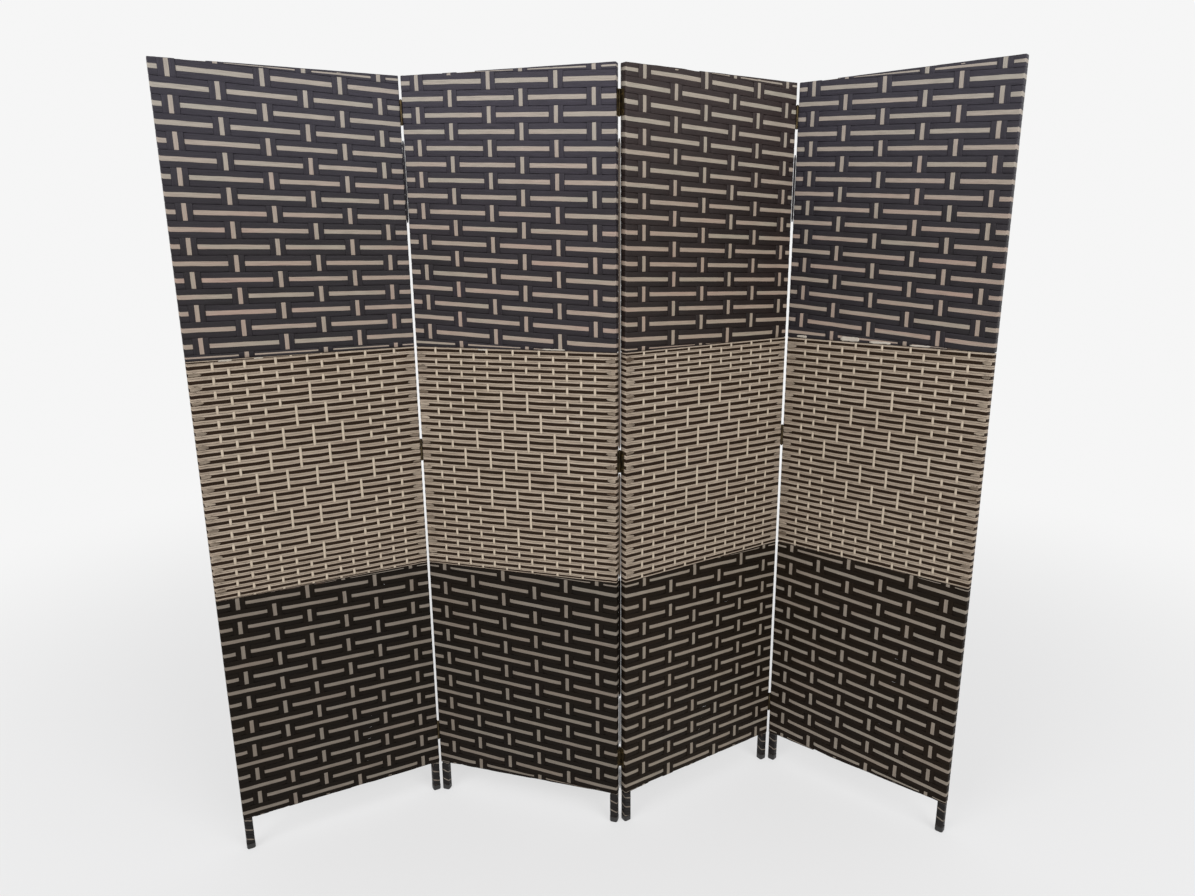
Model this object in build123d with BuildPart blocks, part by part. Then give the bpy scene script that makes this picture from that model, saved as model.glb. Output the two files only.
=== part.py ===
from build123d import *
from math import cos, radians, sin
import os

# A four-panel folding screen: wood frames, wound and woven over with paper tape, on brass hinges.
# It stands on the floor at z = 0 in a zigzag. Its front faces -Y and its width runs along X.

# Frame and weave, in millimetres
screen_height = 1700
panel_width = 465
post_size = 15
post_corner = 2.9
wrap_wall = 1.9
wrap_clearance = 0.2
top_tape = 1.4

# Heights of the weave's lower edge and of its two seams
weave_bottom = 80
lower_seam = 622
upper_seam = 1138
seam_gap = 0.3

# Legs and feet
leg_wrap_wall = 1.4
leg_wrap_gap = 0.3
cap_size = 19
cap_height = 14
cap_floor = 3
cap_corner = 5
cap_edge = 3
cap_clearance = 0.1

# Rails and their joints in the posts
rail_height = 15
rail_corner = 1.5
tenon_length = 8
tenon_height = 10
tenon_depth = 8
tenon_clearance = 0.1

# Hinges
hinge_height = 50
hinge_from_top = 72
hinge_from_floor = 171
knuckle_count = 5
knuckle_gap = 0.3
leaf_thickness = 1.0
leaf_gap = 0.4
leaf_reach = 14
leaf_corner = 2
barrel_radius = 2.1
barrel_offset = 1.2
barrel_clearance = 0.4
pin_radius = 1.0
pin_clearance = 0.05
pin_head_radius = 1.7
pin_head_height = 0.8
pin_head_edge = 0.4
pin_head_gap = 0.1

# Screws through the leaves into the posts
screw_radius = 1.2
screw_length = 12
screw_tip = 3
screw_head_radius = 2.2
screw_depth = 9
screw_spacing = 30
screw_clearance = 0.05
slot_length = 3
slot_width = 0.6
slot_depth = 0.5

# Heading of the first panel and folds of the three joints away from flat, in degrees
first_heading = 27
folds = (45, 50, 73.5)

# Sizes that follow
frame_inset = wrap_wall + wrap_clearance
panel_depth = post_size + 2 * frame_inset
wrap_corner = post_corner + frame_inset
post_inner = frame_inset + post_size
frame_top = screen_height - top_tape
rail_length = panel_width - 2 * post_inner
leg_wrap_size = post_size + 2 * (wrap_clearance + leg_wrap_wall)
leg_wrap_corner = post_corner + wrap_clearance + leg_wrap_wall
joint_gap = 2 * leaf_thickness + leaf_gap
leaf_middle = (leaf_gap + leaf_thickness) / 2
leaf_start = barrel_radius + barrel_clearance
leaf_end = barrel_offset + leaf_reach
knuckle_pitch = hinge_height / knuckle_count
top_hinge = screen_height - hinge_from_top
hinge_levels = (hinge_from_floor, (hinge_from_floor + top_hinge) / 2, top_hinge)
screw_levels = [level + side * screw_spacing / 2 for level in hinge_levels for side in (-1, 1)]
head_height = screw_head_radius - screw_radius
rail_levels = {
    "bottom_rail": weave_bottom + top_tape + rail_height / 2,
    "lower_inner_rail": lower_seam,
    "upper_inner_rail": upper_seam,
    "top_rail": frame_top - rail_height / 2,
}
weave_spans = {
    "lower_weave": (weave_bottom, lower_seam - seam_gap / 2),
    "middle_weave": (lower_seam + seam_gap / 2, upper_seam - seam_gap / 2),
    "upper_weave": (upper_seam + seam_gap / 2, screen_height),
}

# The first and third joints turn about the front edges and the second about the back edges
front_axis = -barrel_offset
back_axis = panel_depth + barrel_offset
axis_depths = (front_axis, back_axis, front_axis)
second_heading = first_heading - folds[0]
third_heading = second_heading + folds[1]
headings = (first_heading, second_heading, third_heading, third_heading - folds[2])

# At a panel's left end the way in is along its width, and at its right end against it
inward = {"left": 1, "right": -1}


def panel_plane(corner, heading):
    # x runs along the panel's width, y from its front to its back, z up
    width_way = (cos(radians(heading)), sin(radians(heading)), 0)
    return Plane(origin=corner, x_dir=width_way, z_dir=(0, 0, 1))


def joint_plane(panel, heading, axis_depth):
    # the hinge axis at the right end of a panel, with x along the given heading
    axis = panel.from_local_coords((panel_width + joint_gap / 2, axis_depth, 0))
    return panel_plane(axis, heading)


def chain_of_panels():
    planes = [panel_plane((0, 0, 0), headings[0])]
    for axis_depth, heading in zip(axis_depths, headings[1:]):
        joint = joint_plane(planes[-1], heading, axis_depth)
        corner = joint.from_local_coords((joint_gap / 2, -axis_depth, 0))
        planes.append(panel_plane(corner, heading))
    return planes


def centred(planes):
    # the middle of the screen's outline, seen from above, goes to the origin
    widths = (wrap_corner, panel_width - wrap_corner)
    depths = (wrap_corner, panel_depth - wrap_corner)
    rounds = [p.from_local_coords((x, y, 0)) for p in planes for x in widths for y in depths]
    middle_x = (min(r.X for r in rounds) + max(r.X for r in rounds)) / 2
    middle_y = (min(r.Y for r in rounds) + max(r.Y for r in rounds)) / 2
    middle = Vector(middle_x, middle_y, 0)
    return [panel_plane(p.origin - middle, heading) for p, heading in zip(planes, headings)]


def end_plane(panel, end, inset=0):
    # faces into the panel from one end: x runs through its depth, y up
    way = inward[end]
    x = inset if end == "left" else panel_width - inset
    origin = panel.from_local_coords((x, 0, 0))
    return Plane(origin=origin, x_dir=panel.y_dir * way, z_dir=panel.x_dir * way)


def middle_points(end, levels):
    # points at the middle of the panel's depth, on the plane of one end
    return [(inward[end] * panel_depth / 2, level) for level in levels]


def screw_points(end, axis_depth, span):
    # centres of the hinge screws between two levels, on the plane of one end
    depth = screw_depth if axis_depth == front_axis else panel_depth - screw_depth
    return [(inward[end] * depth, level) for level in screw_levels if span[0] < level < span[1]]


os.makedirs("parts", exist_ok=True)
panels = centred(chain_of_panels())

for number, panel in enumerate(panels, start=1):
    hinged = {}
    if number > 1:
        hinged["left"] = axis_depths[number - 2]
    if number < len(panels):
        hinged["right"] = axis_depths[number - 1]

    # Wood posts, with mortises for the rails and pilot holes for the hinge screws
    for end in inward:
        post_x = post_inner - post_size / 2
        if end == "right":
            post_x = panel_width - post_x
        mortise_length = tenon_length + tenon_clearance
        with BuildPart() as post:
            with BuildSketch(panel.offset(cap_floor)):
                with Locations((post_x, panel_depth / 2)):
                    RectangleRounded(post_size, post_size, post_corner)
            extrude(amount=frame_top - cap_floor)
            with BuildSketch(end_plane(panel, end, post_inner - mortise_length)):
                with Locations(*middle_points(end, rail_levels.values())):
                    Rectangle(tenon_depth + 2 * tenon_clearance, tenon_height + 2 * tenon_clearance)
            extrude(amount=mortise_length, mode=Mode.SUBTRACT)
            if end in hinged:
                with BuildSketch(end_plane(panel, end)):
                    with Locations(*screw_points(end, hinged[end], (0, screen_height))):
                        Circle(screw_radius + screw_clearance)
                extrude(amount=screw_length, mode=Mode.SUBTRACT)
        post.part.label = f"panel_{number}_{end}_post"
        export_step(post.part, f"parts/{post.part.label}.step")

    # Wood rails with a tenon at each end
    for rail_name, level in rail_levels.items():
        with BuildPart() as rail:
            with BuildSketch(end_plane(panel, "left", post_inner)):
                with Locations(*middle_points("left", [level])):
                    RectangleRounded(post_size, rail_height, rail_corner)
            extrude(amount=rail_length)
            with BuildSketch(end_plane(panel, "left", post_inner - tenon_length)):
                with Locations(*middle_points("left", [level])):
                    Rectangle(tenon_depth, tenon_height)
            extrude(amount=rail_length + 2 * tenon_length)
        rail.part.label = f"panel_{number}_{rail_name}"
        export_step(rail.part, f"parts/{rail.part.label}.step")

    # Woven paper sleeves round the frame, with holes for the hinge screws
    for weave_name, (base, top) in weave_spans.items():
        with BuildPart() as weave:
            with BuildSketch(panel.offset(base)):
                with Locations((panel_width / 2, panel_depth / 2)):
                    RectangleRounded(panel_width, panel_depth, wrap_corner)
                    offset(amount=-wrap_wall, mode=Mode.SUBTRACT)
            extrude(amount=top - base)
            for end, axis_depth in hinged.items():
                holes = screw_points(end, axis_depth, (base, top))
                if holes:
                    with BuildSketch(end_plane(panel, end)):
                        with Locations(*holes):
                            Circle(screw_radius + screw_clearance)
                    extrude(amount=frame_inset, mode=Mode.SUBTRACT)
        weave.part.label = f"panel_{number}_{weave_name}"
        export_step(weave.part, f"parts/{weave.part.label}.step")

    # Wrapping of the two legs
    leg_centres = [(x, panel_depth / 2) for x in (post_inner - post_size / 2,
                                                  panel_width - post_inner + post_size / 2)]
    wrap_base = cap_height + leg_wrap_gap
    with BuildPart() as leg_wraps:
        with BuildSketch(panel.offset(wrap_base)):
            with Locations(*leg_centres):
                RectangleRounded(leg_wrap_size, leg_wrap_size, leg_wrap_corner)
                RectangleRounded(
                    leg_wrap_size - 2 * leg_wrap_wall,
                    leg_wrap_size - 2 * leg_wrap_wall,
                    leg_wrap_corner - leg_wrap_wall,
                    mode=Mode.SUBTRACT,
                )
        extrude(amount=weave_bottom - leg_wrap_gap - wrap_base)
    leg_wraps.part.label = f"panel_{number}_leg_wraps"
    export_step(leg_wraps.part, f"parts/{leg_wraps.part.label}.step")

    # Rounded caps on the feet
    with BuildPart() as foot_caps:
        with BuildSketch(panel):
            with Locations(*leg_centres):
                RectangleRounded(cap_size, cap_size, cap_corner)
        extrude(amount=cap_height)
        fillet(foot_caps.edges().group_by(Axis.Z)[0], radius=cap_edge)
        with BuildSketch(panel.offset(cap_floor)):
            with Locations(*leg_centres):
                RectangleRounded(
                    post_size + 2 * cap_clearance,
                    post_size + 2 * cap_clearance,
                    post_corner + cap_clearance,
                )
        extrude(amount=cap_height - cap_floor, mode=Mode.SUBTRACT)
    foot_caps.part.label = f"panel_{number}_foot_caps"
    export_step(foot_caps.part, f"parts/{foot_caps.part.label}.step")

# One hinge leaf of each hand, about its pin's axis: the left one has the outer knuckles
leaf_shapes = {}
for hand, side, first_knuckle in (("left", -1, 0), ("right", 1, 1)):
    with BuildPart() as leaf:
        with BuildSketch(Plane.XY.offset(-hinge_height / 2)):
            with Locations((side * leaf_middle, (leaf_start + leaf_end) / 2)):
                Rectangle(leaf_thickness, leaf_end - leaf_start)
        extrude(amount=hinge_height)
        fillet(leaf.edges().filter_by(Axis.X).group_by(Axis.Y)[-1], radius=leaf_corner)
        for knuckle in range(first_knuckle, knuckle_count, 2):
            knuckle_base = knuckle * knuckle_pitch - hinge_height / 2 + knuckle_gap / 2
            with BuildSketch(Plane.XY.offset(knuckle_base)):
                Circle(barrel_radius)
                with Locations((side * leaf_middle, leaf_start / 2)):
                    Rectangle(leaf_thickness, leaf_start)
                Circle(pin_radius + pin_clearance, mode=Mode.SUBTRACT)
            extrude(amount=knuckle_pitch - knuckle_gap)
        with Locations(Plane(origin=(side * leaf_gap / 2, 0, 0), x_dir=(0, 1, 0), z_dir=(-side, 0, 0))):
            screw_row = barrel_offset + screw_depth
            with Locations((screw_row, -screw_spacing / 2), (screw_row, screw_spacing / 2)):
                CounterSinkHole(
                    radius=screw_radius + screw_clearance,
                    counter_sink_radius=screw_head_radius + screw_clearance,
                    depth=leaf_thickness,
                    counter_sink_angle=90,
                )
    leaf_shapes[hand] = leaf.part

# One hinge pin, headed at both ends
pin_length = hinge_height + 2 * (pin_head_gap + pin_head_height)
with BuildPart() as pin:
    with BuildSketch(Plane.XY.offset(-pin_length / 2)):
        Circle(pin_radius)
    extrude(amount=pin_length)
    for head_base in (-pin_length / 2, pin_length / 2 - pin_head_height):
        with BuildSketch(Plane.XY.offset(head_base)):
            Circle(pin_head_radius)
        extrude(amount=pin_head_height)
    rims = pin.edges().filter_by(GeomType.CIRCLE).group_by(Axis.Z)
    fillet(rims[0] + rims[-1], radius=pin_head_edge)

# One countersunk screw, its axis along z and its head's face at z = 0
with BuildPart() as screw:
    with BuildSketch(Plane.XZ):
        with BuildLine():
            Polyline(
                (0, 0),
                (screw_head_radius, 0),
                (screw_radius, head_height),
                (screw_radius, screw_length - screw_tip),
                (0, screw_length),
                close=True,
            )
        make_face()
    revolve(axis=Axis.Z)
    with BuildSketch():
        Rectangle(slot_length, slot_width)
        Rectangle(slot_width, slot_length)
    extrude(amount=slot_depth, mode=Mode.SUBTRACT)

# Three hinges at each joint, each as two leaves, a pin and four screws
opposite = {"left": "right", "right": "left"}
for number, axis_depth in enumerate(axis_depths, start=1):
    joined = {"left": (panels[number - 1], "right"), "right": (panels[number], "left")}
    in_front = axis_depth == front_axis
    for hand, (panel, end) in joined.items():
        width_way = panel.x_dir if in_front else -panel.x_dir
        axis_x = panel_width + joint_gap / 2 if end == "right" else -joint_gap / 2
        axis = panel.from_local_coords((axis_x, axis_depth, 0))
        shape = leaf_shapes[hand] if in_front else leaf_shapes[opposite[hand]]
        with BuildPart() as leaves:
            with Locations(Plane(origin=axis, x_dir=width_way, z_dir=(0, 0, 1))):
                with Locations(*[(0, 0, level) for level in hinge_levels]):
                    add(shape)
        leaves.part.label = f"hinge_{number}_{hand}_leaves"
        export_step(leaves.part, f"parts/{leaves.part.label}.step")

        with BuildPart() as screws:
            with Locations(end_plane(panel, end, -leaf_thickness)):
                with Locations(*screw_points(end, axis_depth, (0, screen_height))):
                    add(screw.part)
        screws.part.label = f"hinge_{number}_{hand}_screws"
        export_step(screws.part, f"parts/{screws.part.label}.step")

    with BuildPart() as pins:
        with Locations(Plane(origin=axis, z_dir=(0, 0, 1))):
            with Locations(*[(0, 0, level) for level in hinge_levels]):
                add(pin.part)
    pins.part.label = f"hinge_{number}_pins"
    export_step(pins.part, f"parts/{pins.part.label}.step")
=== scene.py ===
import math

import bpy
import numpy as np
from mathutils import Matrix, Vector


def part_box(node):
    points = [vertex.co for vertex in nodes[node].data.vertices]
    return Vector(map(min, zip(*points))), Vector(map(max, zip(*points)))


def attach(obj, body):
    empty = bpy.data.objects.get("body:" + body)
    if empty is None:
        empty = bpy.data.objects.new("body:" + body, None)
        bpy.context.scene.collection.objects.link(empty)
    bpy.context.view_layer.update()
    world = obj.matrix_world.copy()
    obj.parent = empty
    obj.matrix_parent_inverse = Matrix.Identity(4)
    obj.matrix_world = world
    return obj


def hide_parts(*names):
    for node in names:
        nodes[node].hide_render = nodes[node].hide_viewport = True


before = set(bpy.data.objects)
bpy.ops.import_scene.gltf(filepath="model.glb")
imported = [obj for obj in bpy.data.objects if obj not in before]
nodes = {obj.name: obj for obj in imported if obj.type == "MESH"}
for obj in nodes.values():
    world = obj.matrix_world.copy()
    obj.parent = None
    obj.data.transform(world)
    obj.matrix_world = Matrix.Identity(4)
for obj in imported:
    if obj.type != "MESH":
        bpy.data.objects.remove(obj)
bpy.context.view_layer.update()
mm = 0.001

# The wound panels, in millimetres: x runs along a panel's width, y from its front to its back, z up
panelSizes = {
    "width": 465,
    "depth": 19.2,
    "corner": 2.5,
    "postMiddle": 9.6,
    "top": 1700,
    "upperSeam": 1138,
    "lowerSeam": 622,
    "base": 80,
}


def middleOf(node):
    low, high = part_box(node)
    return (low + high) / 2


def panelPlace(number):  # from a panel's own millimetres to the screen's metres
    leftPost = middleOf(f"panel_{number}_left_post")
    rightPost = middleOf(f"panel_{number}_right_post")
    along = rightPost - leftPost
    along.z = 0
    along.normalize()
    inward = Vector((-along.y, along.x, 0))
    corner = leftPost - (along + inward) * panelSizes["postMiddle"] * mm
    corner.z = 0
    place = Matrix((along * mm, inward * mm, Vector((0, 0, mm)))).transposed().to_4x4()
    place.translation = corner
    return place


panelPlaces = {number: panelPlace(number) for number in (1, 2, 3, 4)}


# The outline of a wound panel or leg, seen from above
def makeOutline(width, depth, corner):
    straight, side, bend = width - 2 * corner, depth - 2 * corner, math.pi / 2 * corner
    return {
        "corner": corner,
        "straight": straight, "side": side, "bend": bend, "half": straight + 2 * bend + side,
        "starts": np.cumsum([0, straight, bend, side, bend, straight, bend, side]),
        "corners": [  # start of each straight and its way, or centre of each bend and its first angle
            ((corner, 0), (1, 0)), ((width - corner, corner), -90),
            ((width, corner), (0, 1)), ((width - corner, depth - corner), 0),
            ((width - corner, depth), (-1, 0)), ((corner, depth - corner), 90),
            ((0, depth - corner), (0, -1)), ((corner, corner), 180),
        ],
    }


panelOutline = makeOutline(panelSizes["width"], panelSizes["depth"], panelSizes["corner"])
straight, side = panelOutline["straight"], panelOutline["side"]
bend, halfTurn = panelOutline["bend"], panelOutline["half"]


def outlineAt(turn, depth, outline=panelOutline):  # points and outward ways, turn mm round and depth mm in
    turn = np.mod(turn, 2 * outline["half"])
    part = np.searchsorted(outline["starts"], turn, side="right") - 1
    points, outward = np.zeros((len(turn), 3)), np.zeros((len(turn), 3))
    for number, (start, way) in enumerate(outline["corners"]):
        here = part == number
        run = turn[here] - outline["starts"][number]
        if isinstance(way, tuple):
            out = np.tile((way[1], -way[0]), (here.sum(), 1)).astype(float)
            place = np.array(start) + run[:, None] * np.array(way) - out * depth[here, None]
        else:
            angle = math.radians(way) + run / outline["corner"]
            out = np.stack([np.cos(angle), np.sin(angle)], 1)
            place = np.array(start) + out * (outline["corner"] - depth[here, None])
        points[here, :2], outward[here, :2] = place, out
    return points, outward


# Tapes: a section is carried along a path, ring by ring
def newMeshParts():
    return {"points": [], "quads": [], "materials": [], "tapeMap": [], "OFBake": [], "count": 0}


def layTape(parts, path, across, outward, spread, lift, faceMaterials, cells, travel, shift):
    # spread and lift place each ring's points across the tape and off its path; the ring closes on itself
    rings, around = spread.shape
    points = path[:, None] + across[:, None] * spread[..., None] + outward[:, None] * lift[..., None]
    first = np.arange(rings - 1)[:, None] * around + np.arange(around)[None]
    after = np.arange(rings - 1)[:, None] * around + (np.arange(around)[None] + 1) % around
    quads = np.stack([first, first + around, after + around, after], -1).reshape(-1, 4)
    half = around // 2 - 1
    startCap = [(j, j + 1, around - 2 - j, around - 1 - j) for j in range(half)]
    endCap = [tuple(reversed([p + (rings - 1) * around for p in cap])) for cap in startCap]
    nextSpread = np.roll(spread, -1, 1)
    u0 = np.repeat(travel[:-1, None], around, 1)
    u1 = np.repeat(travel[1:, None], around, 1)
    tapeMap = np.stack([
        np.stack([u0, spread[:-1] + shift], -1), np.stack([u1, spread[1:] + shift], -1),
        np.stack([u1, nextSpread[1:] + shift], -1), np.stack([u0, nextSpread[:-1] + shift], -1),
    ], 2).reshape(-1, 4, 2) * mm
    low, high, start, end, shelf, shelfHeight = cells
    v0 = shelf[:, None] + shelfHeight * low[None]
    v1 = shelf[:, None] + shelfHeight * high[None]
    b0 = np.repeat(start[:, None], around, 1)
    b1 = np.repeat(end[:, None], around, 1)
    bakeMap = np.stack([np.stack([b0, v0], -1), np.stack([b1, v0], -1),
                        np.stack([b1, v1], -1), np.stack([b0, v1], -1)], 2).reshape(-1, 4, 2)
    caps = startCap + endCap
    parts["points"].append(points.reshape(-1, 3))
    parts["quads"].append(np.concatenate([quads, np.array(caps)]) + parts["count"])
    parts["materials"].append(np.concatenate([np.tile(faceMaterials, rings - 1),
                                              np.full(len(caps), faceMaterials[-2])]))
    for name, corners in (("tapeMap", tapeMap), ("OFBake", bakeMap)):
        parts[name].append(np.concatenate([corners, np.tile(corners[:1], (len(caps), 1, 1))]))
    parts["count"] += rings * around


def faceShares(around, outer):  # outer faces take most of a strip, the hidden ones share the rest
    low, high = np.zeros(around), np.zeros(around)
    edges = np.linspace(0.14, 0.98, outer)
    low[:outer - 1], high[:outer - 1] = edges[:-1], edges[1:]
    rest = np.linspace(0.01, 0.13, around - outer + 2)
    low[outer - 1:], high[outer - 1:] = rest[:-1], rest[1:]
    return low, high


def stripCells(travel, length, strips, around, outer, firstStrip=0):
    # Each length of tape has its own strip of the bake's map, and every strips-th shares one.
    # Given back: each face's share of its strip, then each ring's start, end and strip on the map
    low, high = faceShares(around, outer)
    number = np.floor(travel[:-1] / length)
    start = np.clip(travel[:-1] / length - number, 0, 1)
    end = np.clip(travel[1:] / length - number, 0, 1)
    row = np.mod(number + firstStrip, strips)
    return low, high, start, end, row / strips, 1 / strips


def finishPiece(name, parts, place, materials):
    points = np.concatenate(parts["points"])
    quads = np.concatenate(parts["quads"])
    mesh = bpy.data.meshes.new(name)
    mesh.vertices.add(len(points))
    mesh.vertices.foreach_set("co", points.astype(np.float32).ravel())
    mesh.loops.add(quads.size)
    mesh.loops.foreach_set("vertex_index", quads.astype(np.int32).ravel())
    mesh.polygons.add(len(quads))
    mesh.polygons.foreach_set("loop_start", np.arange(0, quads.size, 4, dtype=np.int32))
    mesh.update(calc_edges=True)
    mesh.polygons.foreach_set("material_index", np.concatenate(parts["materials"]).astype(np.int32))
    mesh.polygons.foreach_set("use_smooth", np.ones(len(quads), bool))
    for mapName in ("tapeMap", "OFBake"):
        layer = mesh.uv_layers.new(name=mapName)
        layer.uv.foreach_set("vector", np.concatenate(parts[mapName]).astype(np.float32).ravel())
    for material in materials:
        mesh.materials.append(material)
    mesh.transform(place)
    mesh.validate()
    piece = bpy.data.objects.new(name, mesh)
    bpy.context.scene.collection.objects.link(piece)
    return piece


def smooth(value):
    value = np.clip(value, 0, 1)
    return value * value * (3 - 2 * value)


def waves(rng, along, size, lengths):  # slow unevenness along a tape: most it moves, and its wavelengths
    total = np.zeros(len(along))
    for length in lengths:
        total += np.sin(along * 2 * math.pi / length + rng.uniform(0, 6.3)) * rng.uniform(0.4, 1)
    return total * size / len(lengths)


# The weaves. Heights are told downwards from a weave's upper edge, for a row's middle at the panel's
# left end, and drop says how much lower the row lies at the right end. Rows between are interpolated
wideTape = {
    "half": 15.6,
    "stripe": 4.2,
    "warpHalf": 15.4,
    "warpStripe": 4.1,
    "outer": (-1, -0.93, -0.62, None, 0, None, 0.62, 0.93, 1),
    "drop": (0.45, 0.12, 0, 0, 0, 0, 0, 0.12, 0.45),
    "warpOuter": (-1, -0.93, -0.62, None, 0, None, 0.62, 0.93, 1),
    "warpDrop": (0.4, 0.1, 0, 0, 0, 0, 0, 0.1, 0.4),
    "thick": 0.85,
    "reach": 11,
    "step": 2.8,
    "strips": 12,
}
narrowTape = {
    "half": 7.1,
    "stripe": 3.5,
    "warpHalf": 2.6,
    "warpStripe": None,
    "outer": (-1, -0.9, None, None, 0.9, 1),
    "drop": (0.6, 0.05, 0, 0, 0.05, 0.6),
    "warpOuter": (-1, -0.55, 0.55, 1),
    "warpDrop": (0.35, 0, 0, 0.35),
    "thick": 0.8,
    "reach": 5,
    "step": 1.7,
    "strips": 18,
}
upperWeaves = {
    1: {"rows": {1: 15, 17: 532}, "drop": {1: 17, 17: 3},
        "warps": (32, 115, 196, 274, 345, 423)},
    2: {"rows": {1: 14, 17: 525.5}, "drop": {1: 15, 17: 23},
        "warps": (37, 111.5, 196, 266.5, 341.5, 420.5)},
    3: {"rows": {1: 8.6, 17: 503.5}, "drop": {1: 22, 17: 15},
        "warps": (46, 125, 203, 281, 350.5, 435)},
    4: {"rows": {1: 14, 17: 517.5}, "drop": {1: 24, 17: 30},
        "warps": (35, 111, 196, 281, 350, 428)},
}
lowerWeaves = {
    1: {"rows": {1: 12.2, 4: 97.2, 18: 523.5}, "drop": {1: 10, 9: 13.5, 18: 4},
        "warps": (41, 115.5, 188, 266.5, 338, 423)},
    2: {"rows": {1: -3, 18: 518.6}, "drop": {1: 32, 18: 42},
        "warps": (40, 112.5, 190.5, 268, 344, 418)},
    3: {"rows": {1: 1.4, 18: 522}, "drop": {1: 24.5, 18: 4},
        "warps": (54, 130, 202, 277, 347, 423)},
    4: {"rows": {1: 0.5, 18: 512.2}, "drop": {1: 23.5, 18: 37},
        "warps": (40, 114, 189.5, 270, 341, 420)},
}
middleWeaves = {
    1: {"rows": {1: 13.3, 6: 87, 18: 270.3, 30: 445.4, 35: 506.8}, "drop": {1: -9, 18: -6, 35: -5}},
    2: {"rows": {1: 7.2, 6: 71.7, 18: 249.3, 30: 431, 35: 501.7}, "drop": {1: -2, 18: 0, 35: -2}},
    3: {"rows": {1: 2.6, 6: 62.5, 18: 249.8, 30: 438.7, 35: 510.9}, "drop": {1: 2, 18: 3, 35: 0}},
    4: {"rows": {1: 5.1, 6: 78.3, 18: 258, 30: 434, 35: 505.8}, "drop": {1: 2, 18: 2, 35: 2}},
}
middleWarps = {"first": 16.7, "pitch": 30.8, "count": 15}
for weave in middleWeaves.values():
    weave["warps"] = tuple(middleWarps["first"] + middleWarps["pitch"] * number
                           for number in range(middleWarps["count"]))
    weave["lumps"] = True


def alternate(row, warp):  # does the warp lie over this row?
    return (row + warp) % 2 == 0


def diamond(row, warp):  # three rows a level: longer stitches make a diamond in the middle
    level, place = divmod(row - 5, 3)
    if not 0 <= level <= 8:
        return alternate(row, warp)
    count = level + 1 if level <= 4 else 9 - level
    long = [7 + 2 * number - (count - 1) for number in range(count)]
    if warp in long:
        return True
    if place == 1 and (warp - 1 in long or warp + 1 in long):
        return False
    return alternate(row, warp)


def anchored(anchors, number):
    keys = sorted(anchors)
    value = np.interp(number, keys, [anchors[k] for k in keys])
    if number < keys[0]:
        value += (number - keys[0]) * (anchors[keys[1]] - anchors[keys[0]]) / (keys[1] - keys[0])
    if number > keys[-1]:
        value += (number - keys[-1]) * (anchors[keys[-1]] - anchors[keys[-2]]) / (keys[-1] - keys[-2])
    return value


windings = {  # how the wound tapes lie, in millimetres
    "sag": 0.9,
    "sideDrop": 2.0,
    "edgeMargin": 0.35,
    "overlap": 0.06,
    "narrowest": 1.6,
    "lean": 2.5,
    "rowShift": 0.5,
    "skin": 0.1,
    "under": 0.95,
    "overDepth": 0.08,
    "underDepth": 1.02,
    "tuck": 1.05,
    "turnOver": 3.6,
}


def tapeSection(outer, half, stripe):  # a ring's points across the tape, and each face's material
    signs = iter((-1, 1))
    columns = [half * share if share is not None else stripe * next(signs) for share in outer]
    hidden = (0.94, 0, -0.94) if len(columns) % 2 else (0.9, -0.9)
    spread = np.stack(columns + [half * share for share in hidden], 1)
    faceMaterials = np.zeros(spread.shape[1], int)
    if None in outer:
        first = outer.index(None)
        faceMaterials[first:len(columns) - 1 - first] = 1
    return spread, len(columns), faceMaterials


def tapeRise(rng, drop, thick, spread, low, high):  # each point's height over the tape's path
    outerCount = len(drop)
    rise = np.tile(-np.array(drop + (thick,) * (spread.shape[1] - outerCount)), (len(spread), 1))
    rise[:, 1:outerCount - 1] += rng.uniform(low, high, (len(spread), outerCount - 2))
    return rise


def planWeave(rng, spec, tape, top, base, stitches, firstWarp):
    warps = np.array(spec["warps"], float)
    lean = rng.uniform(-windings["lean"], windings["lean"], len(warps))
    rowCount = max(spec["rows"]) + 2
    shift = windings["rowShift"]
    left = {row: anchored(spec["rows"], row) + rng.uniform(-shift, shift)
            for row in range(-2, rowCount + 3)}
    drops = sorted(spec["drop"])
    right = {row: left[row] + np.interp(row, drops, [spec["drop"][k] for k in drops]) for row in left}
    return {"warps": warps, "lean": lean, "left": left, "right": right, "rows": sorted(left)[1:-2],
            "top": top, "base": base, "height": top - base, "tape": tape,
            "over": lambda row, number: stitches(row, number + firstWarp)}


def rowDepth(plan, row, turn):  # height below the weave's top of a row's middle, along one turn
    knots = [0, straight, halfTurn, halfTurn + straight, 2 * halfTurn]
    left, right, drop = plan["left"], plan["right"], windings["sideDrop"]
    return np.interp(turn, knots, [left[row], right[row], right[row] + drop, left[row + 1] - drop,
                                   left[row + 1]])


def weftTurns(plan):  # the places round a panel where the wound tape has a ring
    width, corner = panelSizes["width"], panelSizes["corner"]
    edge, reach = plan["tape"]["warpHalf"], plan["tape"]["reach"]
    xs = [corner, corner + 3, width - corner - 3, width - corner]
    for centre in plan["warps"]:
        xs += [centre + side * away for side in (-1, 1)
               for away in (edge - 2, edge + 1, edge + reach * 0.5, edge + reach)]
        xs += [centre]
    marks = np.sort(np.concatenate([[corner], plan["warps"], [width - corner]]))
    xs += list((marks[1:] + marks[:-1]) / 2)
    xs = np.unique(np.round(np.clip(xs, corner, width - corner), 2))
    closest = 0.9
    along = xs[np.concatenate([[True], np.diff(xs) > closest])] - corner
    around = [bend * k / 4 for k in (1, 2, 3)]
    sides = np.concatenate([around, [bend, bend + side / 2, bend + side], [bend + side + a for a in around]])
    return np.concatenate([along, straight + sides, halfTurn + (straight - along)[::-1],
                           halfTurn + straight + sides])


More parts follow.
